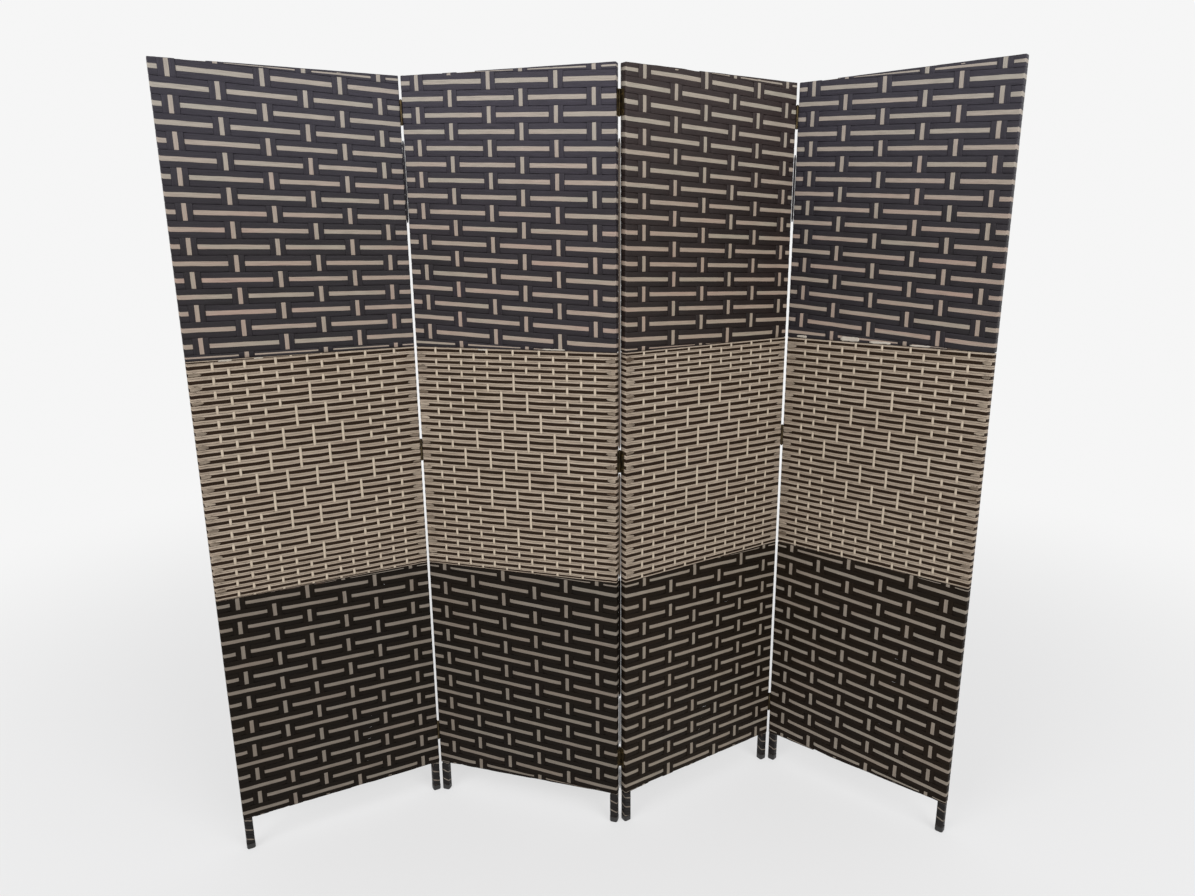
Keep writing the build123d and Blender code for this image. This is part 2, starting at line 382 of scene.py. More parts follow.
def layWeft(rng, plan):  # one tape winds round both posts from top to bottom
    tape, warps, width = plan["tape"], plan["warps"], panelSizes["width"]
    turns = weftTurns(plan)
    points, _ = outlineAt(turns, np.zeros(len(turns)))
    xs, ys = points[:, 0], points[:, 1]
    onFace = (np.abs(ys) < 0.01) | (np.abs(ys - panelSizes["depth"]) < 0.01)

    def sunk(row):  # 0 over the warps, 1 under them
        value = np.zeros(len(xs))
        for number, centre in enumerate(warps):
            if plan["over"](row, number):
                away = tape["warpHalf"] + tape["reach"] - np.abs(xs - centre)
                value = np.maximum(value, smooth(away / tape["reach"]))
        return value

    def sag(row):  # a row hangs a little between the stitches that hold it
        held = [centre for number, centre in enumerate(warps) if plan["over"](row, number)]
        held = np.array([-30] + held + [width + 30])
        k = np.clip(np.searchsorted(held, xs) - 1, 0, len(held) - 2)
        share = (xs - held[k]) / (held[k + 1] - held[k])
        return 4 * share * (1 - share) * windings["sag"]

    allTurn, allUpper, allLower, allSunk = [], [], [], []
    for row in plan["rows"]:
        allTurn.append(turns + 2 * halfTurn * row)
        allSunk.append(np.where(onFace, sunk(row), 0))
        # neighbouring rows meet midway between their middles, so the weave is closed
        middles = [rowDepth(plan, near, turns) + np.where(onFace, sag(near), 0)
                   for near in (row - 1, row, row + 1)]
        allUpper.append((middles[0] + middles[1]) / 2)
        allLower.append((middles[1] + middles[2]) / 2)
    turn, sunken = np.concatenate(allTurn), np.concatenate(allSunk)
    limits = windings["edgeMargin"], plan["height"] - windings["edgeMargin"]
    upper = np.clip(np.concatenate(allUpper) + windings["overlap"], *limits)
    lower = np.clip(np.concatenate(allLower) - windings["overlap"], *limits)
    half = (lower - upper) / 2
    centreZ = plan["top"] - (lower + upper) / 2
    wound = half > windings["narrowest"]
    pick = slice(np.argmax(wound), len(wound) - np.argmax(wound[::-1]))
    turn, sunken, half, centreZ = turn[pick], sunken[pick], half[pick], centreZ[pick]
    depths = windings["skin"] + sunken * windings["under"] + waves(rng, turn, 0.05, (41, 23))
    path, outward = outlineAt(turn, depths)
    path[:, 2] = centreZ
    across = np.tile((0.0, 0, 1), (len(turn), 1))
    squeeze = half / tape["half"]
    stripe = tape["stripe"] * squeeze * (1 + waves(rng, turn, 0.06, (90, 37)))
    spread, outerCount, faceMaterials = tapeSection(tape["outer"], half, stripe)
    ragged = rng.uniform(-0.22, 0.22, (len(turn), 2)) * np.minimum(squeeze, 1)[:, None]
    spread[:, 0] += ragged[:, 0]
    spread[:, outerCount - 1] += ragged[:, 1]
    rise = tapeRise(rng, tape["drop"], tape["thick"], spread, -0.07, 0.05)
    travel = turn - turn.min() // halfTurn * halfTurn
    cells = stripCells(travel, halfTurn, tape["strips"], spread.shape[1], outerCount)
    parts = newMeshParts()
    layTape(parts, path, across, outward, spread, rise, faceMaterials, cells, travel, rng.uniform(0, 900))
    return parts


def warpDepths(plan, number, heights, capped):  # levels down one face of a warp, and its depth at each
    step, height = plan["tape"]["step"], plan["height"]
    levels, depths = [], []
    for row in plan["rows"]:
        if row + 1 not in heights:
            continue
        here, after = heights[row], heights[row + 1]
        border = (here + after) / 2
        d0, d1 = (windings["overDepth"] if plan["over"](near, number) else windings["underDepth"]
                  for near in (row, row + 1))
        levels += [here, border - step, border - step * 0.3, border + step * 0.3, border + step]
        depths += [d0, d0, d0 * 0.75 + d1 * 0.25, d0 * 0.25 + d1 * 0.75, d1]
    levels, depths = np.array(levels), np.array(depths)
    first, last = {None: (0.8, 1.5), "top": (5, 1.5), "base": (1.5, 5)}[capped]
    inside = (levels > first) & (levels < height - last)
    return levels[inside], depths[inside]


def flatRuns(plan, faces):  # the two upright runs of a warp that ends at a seam above and below
    for (levels, depths), out in zip(faces, (-1, 1)):
        levels = np.concatenate([[0.5], levels, [plan["height"] - 0.5]])[::-1]
        depths = np.concatenate([[windings["tuck"]], depths, [windings["tuck"]]])[::-1]
        face = 0 if out < 0 else panelSizes["depth"]
        yield (face - out * depths, plan["top"] - levels, np.tile((out, 0.0), (len(levels), 1)),
               np.tile((0.0, 1.0), (len(levels), 1)))


def turnedRun(plan, faces, capped):  # the one run of a warp that goes over the panel's end rail
    up = 1 if capped == "top" else -1
    endLevel, seamLevel = (plan["top"], plan["height"] - 0.5) if up > 0 else (plan["base"], 0.5)
    (frontLevels, frontDepths), (backLevels, backDepths) = faces
    tuck, turnOver, depth = windings["tuck"], windings["turnOver"], panelSizes["depth"]
    frontLevels = np.concatenate([[seamLevel], frontLevels[::-up]])
    frontDepths = np.concatenate([[tuck], frontDepths[::-up]])
    backLevels = np.concatenate([backLevels[::up], [seamLevel]])
    backDepths = np.concatenate([backDepths[::up], [tuck]])
    angles = np.linspace(0, math.pi / 2, 5)
    arcY = turnOver * (1 - np.cos(angles)) + 0.05
    arcZ = endLevel - up * turnOver * (1 - np.sin(angles)) - up * 0.02
    y = np.concatenate([frontDepths, arcY, [depth / 2], (depth - arcY)[::-1], depth - backDepths])
    z = np.concatenate([plan["top"] - frontLevels, arcZ, [arcZ[-1]], arcZ[::-1], plan["top"] - backLevels])
    outs = np.concatenate([
        np.tile((-1.0, 0), (len(frontDepths), 1)),
        np.stack([-np.cos(angles), up * np.sin(angles)], 1), [(0, up)],
        np.stack([np.cos(angles), up * np.sin(angles)], 1)[::-1],
        np.tile((1.0, 0), (len(backDepths), 1))])
    ways = np.concatenate([
        np.tile((0, float(up)), (len(frontDepths), 1)),
        np.stack([np.sin(angles), up * np.cos(angles)], 1), [(1.0, 0)],
        np.stack([np.sin(angles), -up * np.cos(angles)], 1)[::-1],
        np.tile((0, -float(up)), (len(backDepths), 1))])
    return y, z, outs, ways


def layWarps(rng, plan, capped, hasLumps):  # upright tapes, over and under the rows
    tape, warps = plan["tape"], plan["warps"]
    parts = newMeshParts()
    for number, centre in enumerate(warps):
        if hasLumps and number in (0, len(warps) - 1):
            continue
        left, right, share = plan["left"], plan["right"], centre / panelSizes["width"]
        front = {row: left[row] + (right[row] - left[row]) * share for row in plan["rows"]}
        backTurn = np.array([halfTurn + panelSizes["width"] - panelSizes["corner"] - centre])
        back = {row: rowDepth(plan, row, backTurn)[0] for row in plan["rows"]}
        faces = [warpDepths(plan, number, heights, capped) for heights in (front, back)]
        runs = flatRuns(plan, faces) if capped is None else [turnedRun(plan, faces, capped)]
        for y, z, outs, ways in runs:
            leaning = plan["lean"][number] * ((plan["top"] - z) / plan["height"] - 0.5)
            path = np.stack([centre + leaning + waves(rng, z, 0.35, (140, 61)), y, z], 1)
            none = np.zeros(len(y))
            outward = np.stack([none, outs[:, 0], outs[:, 1]], 1)
            across = np.cross(outward, np.stack([none, ways[:, 0], ways[:, 1]], 1))
            half = tape["warpHalf"] * (1 + waves(rng, z, 0.02, (50,)))
            stripe = (tape["warpStripe"] or 0) * (1 + waves(rng, z, 0.05, (60, 33)))
            spread, outerCount, faceMaterials = tapeSection(tape["warpOuter"], half, stripe)
            rise = tapeRise(rng, tape["warpDrop"], tape["thick"], spread, -0.05, 0.04)
            travel = np.concatenate([[0], np.cumsum(np.hypot(np.diff(y), np.diff(z)))])
            cells = stripCells(travel, travel[-1] * 1.0001, 8, spread.shape[1], outerCount, number)
            layTape(parts, path, across, outward, spread, rise, faceMaterials, cells, travel,
                    rng.uniform(0, 900))
    return parts


def buildWeave(spec, tape, top, base, stitches, firstWarp, seed, capped):
    rng = np.random.default_rng(seed)
    plan = planWeave(rng, spec, tape, top, base, stitches, firstWarp)
    return layWeft(rng, plan), layWarps(rng, plan, capped, "lumps" in spec)


def addNode(tree, kind, values):  # a shader node with the values of its inputs
    node = tree.new(f"ShaderNode{kind}")
    for name, value in values.items():
        node.inputs[name].default_value = value
    return node


# Streaked paper cords, with painted sheen towards the top and painted shade in the grooves, seen on the
# tape's own map
fibreNoises = {  # scale along, across and off the tape, then detail and roughness
    "streaks": ((28, 900, 1), 3, 0.55),
    "patches": ((10, 210, 1), 3, 0.55),
    "tones": ((4, 12, 1), 1, 0.5),
    "fine": ((260, 2400, 1), 2, 0.6),
}


def makeFibreGroup():
    group = bpy.data.node_groups.new("paperFibre", "ShaderNodeTree")
    grey = (0.1, 0.1, 0.1, 1)
    for name, value in (("Colour", grey), ("Tint", grey), ("Tint Amount", 0.5), ("Dark Streaks And Groove Shade", 0.4),
                        ("Cord Pitch", 2.3), ("Painted Sheen Colour", grey), ("Painted Sheen Amount", 0.0),
                        ("Roughness", 0.6)):
        kind = "NodeSocketColor" if value == grey else "NodeSocketFloat"
        group.interface.new_socket(name, in_out="INPUT", socket_type=kind).default_value = value
    for name, kind in (("Colour", "NodeSocketColor"), ("Roughness", "NodeSocketFloat"),
                       ("Height", "NodeSocketFloat")):
        group.interface.new_socket(name, in_out="OUTPUT", socket_type=kind)
    tree, link = group.nodes, group.links.new
    inputs, outputs = tree.new("NodeGroupInput"), tree.new("NodeGroupOutput")
    tapeMap = tree.new("ShaderNodeUVMap")
    tapeMap.uv_map = "tapeMap"

    def noiseOn(name):
        scale, detail, roughness = fibreNoises[name]
        mapping = addNode(tree, "Mapping", {"Scale": scale})
        noise = addNode(tree, "TexNoise", {"Scale": 1, "Detail": detail, "Roughness": roughness})
        link(tapeMap.outputs[0], mapping.inputs["Vector"])
        link(mapping.outputs[0], noise.inputs["Vector"])
        return noise.outputs["Fac"]

    def maths(operation, *values):
        node = tree.new("ShaderNodeMath")
        node.operation = operation
        for socket, value in zip(node.inputs, values):
            if isinstance(value, (int, float)):
                socket.default_value = value
            else:
                link(value, socket)
        return node.outputs[0]

    def ranged(value, fromMin, fromMax, toMin=0, toMax=1, kind="LINEAR"):
        node = addNode(tree, "MapRange", {"From Min": fromMin, "From Max": fromMax,
                                          "To Min": toMin, "To Max": toMax})
        node.interpolation_type = kind
        link(value, node.inputs["Value"])
        return node.outputs[0]

    def mixed(factor, first, second, kind="MIX"):
        node = tree.new("ShaderNodeMix")
        node.data_type = "RGBA"
        node.blend_type = kind
        if isinstance(factor, (int, float)):
            node.inputs["Factor"].default_value = factor
        else:
            link(factor, node.inputs["Factor"])
        link(first, node.inputs[6])
        link(second, node.inputs[7])
        return node.outputs[2]

    streaks, patches, tones, fine = (noiseOn(name) for name in fibreNoises)
    separate = tree.new("ShaderNodeSeparateXYZ")
    link(tapeMap.outputs[0], separate.inputs[0])
    acrossMm = maths("MULTIPLY", separate.outputs["Y"], 1000)
    angle = maths("MULTIPLY", maths("DIVIDE", acrossMm, inputs.outputs["Cord Pitch"]), math.pi)
    cords = maths("ABSOLUTE", maths("SINE", angle))
    tinting = ranged(maths("MULTIPLY_ADD", tones, 0.55, maths("MULTIPLY", patches, 0.45)), 0.34, 0.66)
    colour = mixed(maths("MULTIPLY", tinting, inputs.outputs["Tint Amount"]),
                   inputs.outputs["Colour"], inputs.outputs["Tint"])
    place = tree.new("ShaderNodeTexCoord")  # painted sheen: the paper is painted paler towards the screen's top, for light glancing off the upper rows
    level = tree.new("ShaderNodeSeparateXYZ")
    link(place.outputs["Object"], level.inputs[0])
    # painted sheen: a mask rising with height from 1.3 to 1.7 m mixes in the paler sheen colour
    paintedSheenShare = ranged(level.outputs["Z"], 1.3, 1.7, kind="SMOOTHSTEP")
    colour = mixed(maths("MULTIPLY", paintedSheenShare, inputs.outputs["Painted Sheen Amount"]),
                   colour, inputs.outputs["Painted Sheen Colour"])
    # painted shade: thin dark lines painted along the grooves between cords, joined with the random dark
    # streaks
    paintedGrooveShade = maths("SUBTRACT", 1, maths("MINIMUM", maths("MULTIPLY", cords, 3), 1))
    dark = maths("MAXIMUM", ranged(streaks, 0.3, 0.62, 1, 0), maths("MULTIPLY", paintedGrooveShade, 0.8))
    streakAndGrooveShadeFactor = maths("SUBTRACT", 1, maths("MULTIPLY", dark, inputs.outputs["Dark Streaks And Groove Shade"]))
    grey = tree.new("ShaderNodeCombineColor")
    for channel in range(3):
        link(streakAndGrooveShadeFactor, grey.inputs[channel])
    link(mixed(1, colour, grey.outputs[0], "MULTIPLY"), outputs.inputs["Colour"])
    rough = maths("ADD", inputs.outputs["Roughness"], maths("MULTIPLY_ADD", streaks, 0.3, -0.15))
    link(rough, outputs.inputs["Roughness"])
    relief = maths("ADD", maths("MULTIPLY", cords, 0.5),
                   maths("ADD", maths("MULTIPLY", streaks, 0.8), maths("MULTIPLY", fine, 0.25)))
    link(relief, outputs.inputs["Height"])
    return group


fibreGroup = makeFibreGroup()


def shade(colour, tone):
    return (*(c * t for c, t in zip(colour, tone)), 1)


def paperMaterial(name, look, tone=(1, 1, 1)):
    material = bpy.data.materials.new(name)
    material.use_nodes = True
    tree, link = material.node_tree.nodes, material.node_tree.links.new
    shader = tree["Principled BSDF"]
    fibre = tree.new("ShaderNodeGroup")
    fibre.node_tree = fibreGroup
    for name, value in (("Colour", shade(look["colour"], tone)), ("Tint", shade(look["tint"], tone)),
                        ("Tint Amount", look["tintAmount"]), ("Dark Streaks And Groove Shade", look["streaks"]),
                        ("Painted Sheen Colour", shade(look.get("paintedSheen", look["tint"]), tone)),
                        ("Painted Sheen Amount", look.get("paintedSheenShare", 0)), ("Cord Pitch", look["cord"]),
                        ("Roughness", look["rough"])):
        fibre.inputs[name].default_value = value
    bump = addNode(tree, "Bump", {"Strength": look["bump"], "Distance": 0.0006})
    link(fibre.outputs["Colour"], shader.inputs["Base Color"])
    link(fibre.outputs["Roughness"], shader.inputs["Roughness"])
    link(fibre.outputs["Height"], bump.inputs["Height"])
    link(bump.outputs[0], shader.inputs["Normal"])
    shader.inputs["Specular IOR Level"].default_value = look["gloss"]
    return material


def srgb(r, g, b):  # a colour as it is picked on a screen, 0 to 255
    return tuple(((c / 255 + 0.055) / 1.055) ** 2.4 if c > 10 else c / 3294.6 for c in (r, g, b))


# streaks sets both the random dark streaks and the painted shade in the grooves between cords
paperLooks = {
    "upperDarkTape": {"colour": srgb(27, 22, 24), "tint": srgb(46, 41, 47), "tintAmount": 0.75,
                      # painted sheen: the paler colour and its share, painted on towards the screen's top
                      "paintedSheen": srgb(64, 61, 72), "paintedSheenShare": 0.7,
                      "streaks": 0.6, "cord": 2.3, "rough": 0.5, "gloss": 0.22, "bump": 0.6},
    "upperPaleStripe": {"colour": srgb(160, 151, 137), "tint": srgb(170, 143, 131), "tintAmount": 0.85,
                        # painted sheen: the paler colour and its share, painted on towards the screen's top
                        "paintedSheen": srgb(178, 173, 164), "paintedSheenShare": 0.6,
                        "streaks": 0.35, "cord": 2.375, "rough": 0.6, "gloss": 0.25, "bump": 0.5},
    "lowerDarkTape": {"colour": srgb(18, 12, 6), "tint": srgb(28, 20, 11), "tintAmount": 0.7,
                      "streaks": 0.5, "cord": 2.3, "rough": 0.62, "gloss": 0.1, "bump": 0.55},
    "lowerPaleStripe": {"colour": srgb(134, 126, 115), "tint": srgb(126, 110, 98), "tintAmount": 0.6,
                        "streaks": 0.4, "cord": 2.375, "rough": 0.65, "gloss": 0.2, "bump": 0.5},
    "narrowPaleTape": {"colour": srgb(190, 174, 156), "tint": srgb(160, 142, 124), "tintAmount": 0.8,
                       "streaks": 0.45, "cord": 1.45, "rough": 0.68, "gloss": 0.2, "bump": 0.6},
    "narrowDarkStripe": {"colour": srgb(44, 30, 18), "tint": srgb(33, 22, 13), "tintAmount": 0.6,
                         "streaks": 0.35, "cord": 1.4, "rough": 0.66, "gloss": 0.1, "bump": 0.5},
    "creamWarp": {"colour": srgb(204, 189, 169), "tint": srgb(184, 168, 148), "tintAmount": 0.5,
                  "streaks": 0.25, "cord": 1.7, "rough": 0.62, "gloss": 0.25, "bump": 0.5},
    "crumpledTape": {"colour": srgb(196, 180, 161), "tint": srgb(84, 66, 50), "tintAmount": 1.0,
                     "streaks": 0.7, "cord": 1.1, "rough": 0.7, "gloss": 0.15, "bump": 0.8},
    "foldedTape": {"colour": srgb(206, 198, 186), "tint": srgb(178, 168, 154), "tintAmount": 0.6,
                   "streaks": 0.3, "cord": 2.3, "rough": 0.6, "gloss": 0.25, "bump": 0.6},
    "legTape": {"colour": srgb(21, 18, 17), "tint": srgb(34, 31, 30), "tintAmount": 0.6,
                "streaks": 0.5, "cord": 2.1, "rough": 0.55, "gloss": 0.2, "bump": 0.5},
}
# The third panel's dark tape is browner. The right-hand panels' lower tapes are painted paler, as painted
# light for the brighter right side. The second panel's upper dark tape is a little lighter, and the third
# panel's upper pale stripe a little darker.
panelTonesAndPaintedLight = {  # tones per panel: a browner tape, and painted light on the right
    ("upperDarkTape", 3): (0.95, 0.72, 0.5), ("upperDarkTape", 2): (1.12, 1.1, 1.12),
    ("lowerDarkTape", 3): (1.5, 1.45, 1.4), ("lowerDarkTape", 4): (1.5, 1.42, 1.35),
    ("lowerPaleStripe", 3): (1.25, 1.25, 1.22), ("lowerPaleStripe", 4): (1.25, 1.25, 1.25),
    ("upperPaleStripe", 3): (0.95, 0.94, 0.9),
}


def panelPaper(looks, panel):
    return [paperMaterial(f"{look}{panel}", paperLooks[look], panelTonesAndPaintedLight.get((look, panel), (1, 1, 1)))
            for look in looks]


# The twelve weaves, the crumpled ends of their tapes and the tape folded over at the upper seams
weaveBuilds = (
    ("upper", upperWeaves, wideTape, "top", "upperSeam", alternate, 1, "top",
     ("upperDarkTape", "upperPaleStripe"), ("upperDarkTape", "upperPaleStripe"), "dark_tape"),
    ("middle", middleWeaves, narrowTape, "upperSeam", "lowerSeam", diamond, 0, None,
     ("narrowPaleTape", "narrowDarkStripe"), ("creamWarp",), "pale_tape"),
    ("lower", lowerWeaves, wideTape, "lowerSeam", "base", alternate, 1, "base",
     ("lowerDarkTape", "lowerPaleStripe"), ("lowerDarkTape", "lowerPaleStripe"), "dark_tape"),
)
seamGap = 0.15
lump = {
    "rows": range(0, 36, 2),
    "middles": (16.7, 447.8),
    "length": (23, 20),
    "start": 2.2,
    "backDrop": 7,
    "margin": 7,
    "half": 6.6,
    "thinnest": 0.35,
    "tip": 0.45,
    "proud": 1.1,
    "most": 0.85,
    "rings": 11,
}


def layLumps(panel, spec, top, height, seed):  # tape ends crumpled over the posts, on every second row
    rng = np.random.default_rng(seed)
    parts = newMeshParts()
    width, depth = panelSizes["width"], panelSizes["depth"]
    steps = np.linspace(0, 1, lump["rings"])
    drops = sorted(spec["drop"])
    for row in lump["rows"]:
        base = anchored(spec["rows"], row)
        drop = np.interp(row, drops, [spec["drop"][k] for k in drops])
        for end, (middle, length) in enumerate(zip(lump["middles"], lump["length"])):
            for face in (-1, 1):
                level = base + drop * middle / width + (lump["backDrop"] if face > 0 else 0)
                level += rng.uniform(-0.8, 0.8)
                if not lump["margin"] < level < height - lump["margin"]:
                    continue
                way = 1 if end == 0 else -1  # from the post inwards
                start = lump["start"] if end == 0 else width - lump["start"]
                run = length * rng.uniform(0.85, 1.08) * steps
                half = lump["half"] * rng.uniform(0.8, 1.1) * np.minimum(1, 0.7 + steps * 2)
                half = np.maximum(half * (1 - steps) ** lump["tip"], lump["thinnest"])
                half = half * (1 + rng.uniform(-0.2, 0.2, len(steps)))
                swell = lump["proud"] * np.sin(np.clip(steps * 0.9 + 0.1, 0, 1) * math.pi) + 0.05
                bent = top - level + rng.uniform(-1.6, 1.6) * steps * steps
                path = np.stack([start + way * run,
                                 np.full(len(steps), 0.05 if face < 0 else depth - 0.05),
                                 bent + rng.uniform(-0.35, 0.35, len(steps))], 1)
                across = np.tile((0.0, 0, -1.0 * way * face), (len(steps), 1))
                outward = np.tile((0.0, face, 0), (len(steps), 1))
                columns = np.array([-1, -0.55, -0.1, 0.4, 1])
                spread = np.concatenate([half[:, None] * columns, half[:, None] * (0.6, 0, -0.6)], 1)
                crumple = rng.uniform(-0.35, 0.5, (len(steps), 3))
                edge = np.full((len(steps), 1), -0.6)
                rise = np.concatenate([
                    edge, np.minimum(swell[:, None] * (1 + crumple) - 0.25, lump["most"]), edge,
                    np.full((len(steps), 3), -0.9)], 1)
                cells = stripCells(run, length * 1.2, 18, 8, 5, row)
                layTape(parts, path, across, outward, spread, rise, np.zeros(8, int), cells,
                        run + row * 30.0, rng.uniform(0, 900))
    return parts


seamFolds = {  # pale tape folded over at the upper seam: start, end, height over the seam and half width
    1: ((60, 86, -2.6, 1.5), (128, 146, -2.2, 1.2)),
    2: ((150, 172, -2.8, 1.4), (300, 352, 2.4, 1.3)),
    4: ((25, 50, 4.2, 2.8), (134, 178, 6.6, 5.2), (202, 250, 3.4, 2.6), (292, 336, 2.8, 1.8)),
}
foldRings = 10


def laySeamFolds(panel):
    rng = np.random.default_rng(600 + panel)
    parts = newMeshParts()
    for start, end, height, width in seamFolds[panel]:
        steps = np.linspace(0, 1, foldRings)
        half = width * (1 + rng.uniform(-0.15, 0.15, foldRings))
        half = half * np.minimum(1, 0.55 + 6 * np.minimum(steps, 1 - steps))
        path = np.stack([start + (end - start) * steps, np.full(foldRings, -0.05),
                         panelSizes["upperSeam"] + height + rng.uniform(-0.4, 0.4, foldRings)], 1)
        across = np.tile((0.0, 0, 1), (foldRings, 1))
        outward = np.tile((0.0, -1, 0), (foldRings, 1))
        spread = half[:, None] * np.array((-1, -0.6, 0, 0.6, 1, 0.6, 0, -0.6))
        rise = np.tile((-0.2, 0.1, 0.25, 0.1, -0.2, -0.7, -0.7, -0.7), (foldRings, 1))
        rise[:, 1:4] += rng.uniform(-0.12, 0.15, (foldRings, 3))
        travel = (end - start) * steps
        cells = stripCells(travel, 60, 4, 8, 5)
        layTape(parts, path, across, outward, spread, rise, np.zeros(8, int), cells, travel,
                rng.uniform(0, 900))
    return parts


for panel in panelPlaces:
    for part, (label, specs, tape, top, base, stitches, firstWarp, capped,
               weftLook, warpLook, slot) in enumerate(weaveBuilds):
        topLevel = panelSizes[top] - (seamGap if top != "top" else 0)
        baseLevel = panelSizes[base] + (seamGap if base != "base" else 0)
        weft, warp = buildWeave(specs[panel], tape, topLevel, baseLevel, stitches, firstWarp,
                                100 * panel + part, capped)
        weftPiece = finishPiece(f"panel{panel}{label.title()}Weft", weft, panelPlaces[panel],
                                panelPaper(weftLook, panel))
        warpMaterials = panelPaper(warpLook, panel) if label == "middle" else list(weftPiece.data.materials)
        warpPiece = finishPiece(f"panel{panel}{label.title()}Warps", warp, panelPlaces[panel], warpMaterials)
        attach(weftPiece, f"panel_{panel}")
        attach(warpPiece, f"panel_{panel}")
        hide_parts(f"panel_{panel}_{label}_weave")
        if label == "middle":
            lumps = layLumps(panel, specs[panel], topLevel, topLevel - baseLevel, 500 + panel)
            lumpPiece = finishPiece(f"panel{panel}CrumpledEnds", lumps, panelPlaces[panel],
                                    panelPaper(("crumpledTape",), panel))
            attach(lumpPiece, f"panel_{panel}")
    if panel in seamFolds:
        folds = finishPiece(f"panel{panel}SeamFolds", laySeamFolds(panel), panelPlaces[panel],
                            panelPaper(("foldedTape",), panel))
        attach(folds, f"panel_{panel}")
    print("woven panel", panel)


# Wrapped legs: the wide tape winds down each leg to its foot
legWrap = {"size": 18.4, "corner": 3.6, "middles": (9.6, 455.4), "span": (14.3, 79.7), "pitch": 25,
           "stripe": 1.5, "thick": 0.9}
legOutline = makeOutline(legWrap["size"], legWrap["size"], legWrap["corner"])


def wrapLegs(panel):
    rng = np.random.default_rng(700 + panel)
    parts = newMeshParts()
    low, high = legWrap["span"]
    for leg, middle in enumerate(legWrap["middles"]):
        whole = 2 * legOutline["half"]
        starts = list(legOutline["starts"]) + [whole]
        marks = np.concatenate([start + (end - start) * np.linspace(0, 1, 4)[:-1]
                                for start, end in zip(starts, starts[1:])])
        count = int((high - low) / legWrap["pitch"]) + 3
        turn = np.concatenate([marks + whole * k for k in range(count)])
        begin = rng.uniform(0, legWrap["pitch"])
        level = high + begin - turn / whole * legWrap["pitch"]
        upper = np.clip(level + legWrap["pitch"] / 2 - 0.05, low, high)
        lower = np.clip(level - legWrap["pitch"] / 2 + 0.05, low, high)
        half = (upper - lower) / 2
        keep = half > 1.2
        turn, half, centre = turn[keep], half[keep], ((upper + lower) / 2)[keep]
        bandLevel = level[keep] - centre
        path, outward = outlineAt(turn, 0.15 + waves(rng, turn, 0.12, (31, 17)), legOutline)
        path[:, 0] += middle - legWrap["size"] / 2
        path[:, 1] += panelSizes["postMiddle"] - legWrap["size"] / 2
        path[:, 2] = centre
        across = np.tile((0.0, 0, 1), (len(turn), 1))
        stripe = legWrap["stripe"] * (1 + waves(rng, turn, 0.5, (23, 11)))
        lowMark = np.clip(bandLevel - stripe, -half * 0.86, half * 0.8)
        highMark = np.clip(bandLevel + stripe, lowMark + 0.2, half * 0.88)
        spread = np.stack([-half, -half * 0.93, lowMark, highMark, half * 0.93, half,
                           half * 0.9, -half * 0.9], 1)
        rise = np.tile((-0.4, -0.08, 0, 0, -0.08, -0.4, -0.9, -0.9), (len(turn), 1))
        rise[:, 1:5] += rng.uniform(-0.08, 0.06, (len(turn), 4))
        materials = np.array([0, 0, 1, 0, 0, 0, 0, 0])
        travel = turn - turn[0]
        cells = stripCells(travel, legOutline["half"], 8, 8, 6, leg * 4)
        layTape(parts, path, across, outward, spread, rise, materials, cells, travel,
                rng.uniform(0, 900))
    return parts


for panel in panelPlaces:
    legs = finishPiece(f"panel{panel}LegWraps", wrapLegs(panel), panelPlaces[panel],
                       [paperMaterial(f"legTape{panel}", paperLooks["legTape"]),
                        paperMaterial(f"legStripe{panel}", paperLooks["lowerPaleStripe"])])
    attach(legs, f"panel_{panel}")
    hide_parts(f"panel_{panel}_leg_wraps")
print("wrapped legs")


# Loose strands of tape that run down in the folds; a tone below one darkens a strand as painted shade of the
# fold
strands = (  # name, panel that carries it, place on its plan, levels, radius, look and tone (below one: painted shade of the fold)
    ("foldTwoUpperStrand", 3, (-1.2, 20.4), (1562, 928), 2.45, "upperPaleStripe", (0.62, 0.6, 0.58)),
    ("foldTwoMiddleStrand", 3, (-1.2, 20.4), (871, 630), 2.45, "narrowPaleTape", (0.5, 0.47, 0.45)),
    ("foldTwoLowerStrand", 3, (-1.2, 20.4), (628, 330), 2.4, "lowerDarkTape", (1, 1, 1)),
    ("foldTwoThinStrand", 3, (-0.8, 20.2), (326, 204), 1.6, "lowerDarkTape", (1, 1, 1)),
    ("foldTwoFootStrand", 3, (-0.8, 20.2), (140, 84), 1.6, "lowerDarkTape", (1, 1, 1)),
    ("foldOneStrand", 1, (466.2, -1.2), (1572, 1405), 2.4, "upperDarkTape", (0.6, 0.6, 0.6)),
    ("foldThreeStrand", 3, (466.2, -1.2), (1548, 1402), 2.4, "upperDarkTape", (0.6, 0.55, 0.5)),
)


def layStrand(place, levels, radius, seed):
    rng = np.random.default_rng(seed)
    ringPitch = 9
    z = np.linspace(levels[0], levels[1], int(abs(levels[0] - levels[1]) / ringPitch) + 2)
    path = np.stack([place[0] + waves(rng, z, 0.12, (90, 41)),
                     place[1] + waves(rng, z, 0.12, (77, 35)), z], 1)
    across = np.tile((1.0, 0, 0), (len(z), 1))
    outward = np.tile((0.0, -1, 0), (len(z), 1))
    size = radius * (1 - 0.25 * np.clip(rng.random(len(z)) - 0.6, 0, 1))
    size[[0, -1]] *= 0.5
    around = np.linspace(math.pi, 3 * math.pi, 9)[:-1] + 0.3
    spread = size[:, None] * np.cos(around)
    rise = size[:, None] * np.sin(around) * -1
    travel = levels[0] - z
    parts = newMeshParts()
    cells = stripCells(travel, 160, 4, 8, 5)
    layTape(parts, path, across, outward, spread, rise, np.zeros(8, int), cells, travel, 50 * seed)
    return parts


for number, (name, carrier, place, levels, radius, look, tone) in enumerate(strands):
    strand = finishPiece(name, layStrand(place, levels, radius, 900 + number), panelPlaces[carrier],
                         [paperMaterial(name, paperLooks[look], tone)])
    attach(strand, f"panel_{carrier}")
print("laid strands")


